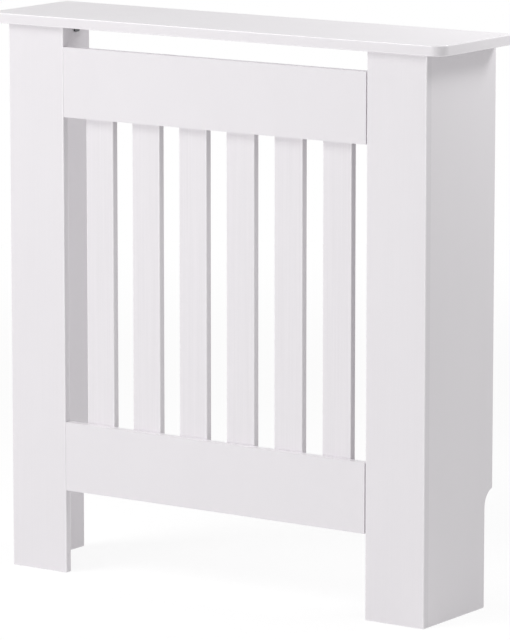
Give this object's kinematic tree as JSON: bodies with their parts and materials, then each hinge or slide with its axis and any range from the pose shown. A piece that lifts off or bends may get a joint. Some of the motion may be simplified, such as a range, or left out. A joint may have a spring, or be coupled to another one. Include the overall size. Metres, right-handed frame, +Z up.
{
  "type": "radiator cover cabinet",
  "caption": "White radiator cover: shelf with rounded front corners, wide stiles, upright slats behind cross rails, and side panels notched for a skirting board.",
  "frame": {"origin": "on the floor, under the middle of the shelf's outline (the bottom centre of the bounding box)", "axes": "+Z up, +Y towards the wall, front facing -Y, +X to the right as seen from the front"},
  "size_m": [0.78, 0.19, 0.82],
  "materials": {
    "white_lacquer": "satin white lacquer on MDF",
    "zinc_steel": "zinc plated",
    "beech": "raw"
  },
  "bodies": {
    "root": {"top_shelf": "white_lacquer", "left_stile": "white_lacquer", "right_stile": "white_lacquer", "left_side_panel": "white_lacquer", "right_side_panel": "white_lacquer", "lower_rail": "white_lacquer", "upper_rail": "white_lacquer", "slat_1": "white_lacquer", "slat_2": "white_lacquer", "slat_3": "white_lacquer", "slat_4": "white_lacquer", "slat_5": "white_lacquer", "slat_6": "white_lacquer", "joining_plate_lower_left": "zinc_steel", "joining_plate_lower_right": "zinc_steel", "joining_plate_upper_left": "zinc_steel", "joining_plate_upper_right": "zinc_steel", "corner_bracket_front_left": "zinc_steel", "corner_bracket_front_right": "zinc_steel", "corner_bracket_rear_left": "zinc_steel", "corner_bracket_rear_right": "zinc_steel", "wall_bracket_left": "zinc_steel", "wall_bracket_right": "zinc_steel", "slat_screw_lower_1": "zinc_steel", "slat_screw_lower_2": "zinc_steel", "slat_screw_lower_3": "zinc_steel", "slat_screw_lower_4": "zinc_steel", "slat_screw_lower_5": "zinc_steel", "slat_screw_lower_6": "zinc_steel", "slat_screw_upper_1": "zinc_steel", "slat_screw_upper_2": "zinc_steel", "slat_screw_upper_3": "zinc_steel", "slat_screw_upper_4": "zinc_steel", "slat_screw_upper_5": "zinc_steel", "slat_screw_upper_6": "zinc_steel", "plate_screw_lower_left_stile": "zinc_steel", "plate_screw_lower_left_rail": "zinc_steel", "plate_screw_lower_right_stile": "zinc_steel", "plate_screw_lower_right_rail": "zinc_steel", "plate_screw_upper_left_stile": "zinc_steel", "plate_screw_upper_left_rail": "zinc_steel", "plate_screw_upper_right_stile": "zinc_steel", "plate_screw_upper_right_rail": "zinc_steel", "bracket_screw_front_left_shelf": "zinc_steel", "bracket_screw_front_left_panel": "zinc_steel", "bracket_screw_front_right_shelf": "zinc_steel", "bracket_screw_front_right_panel": "zinc_steel", "bracket_screw_rear_left_shelf": "zinc_steel", "bracket_screw_rear_left_panel": "zinc_steel", "bracket_screw_rear_right_shelf": "zinc_steel", "bracket_screw_rear_right_panel": "zinc_steel", "wall_bracket_screw_left": "zinc_steel", "wall_bracket_screw_right": "zinc_steel", "dowel_left_1": "beech", "dowel_left_2": "beech", "dowel_left_3": "beech", "dowel_right_1": "beech", "dowel_right_2": "beech", "dowel_right_3": "beech"}
  },
  "joints": []
}
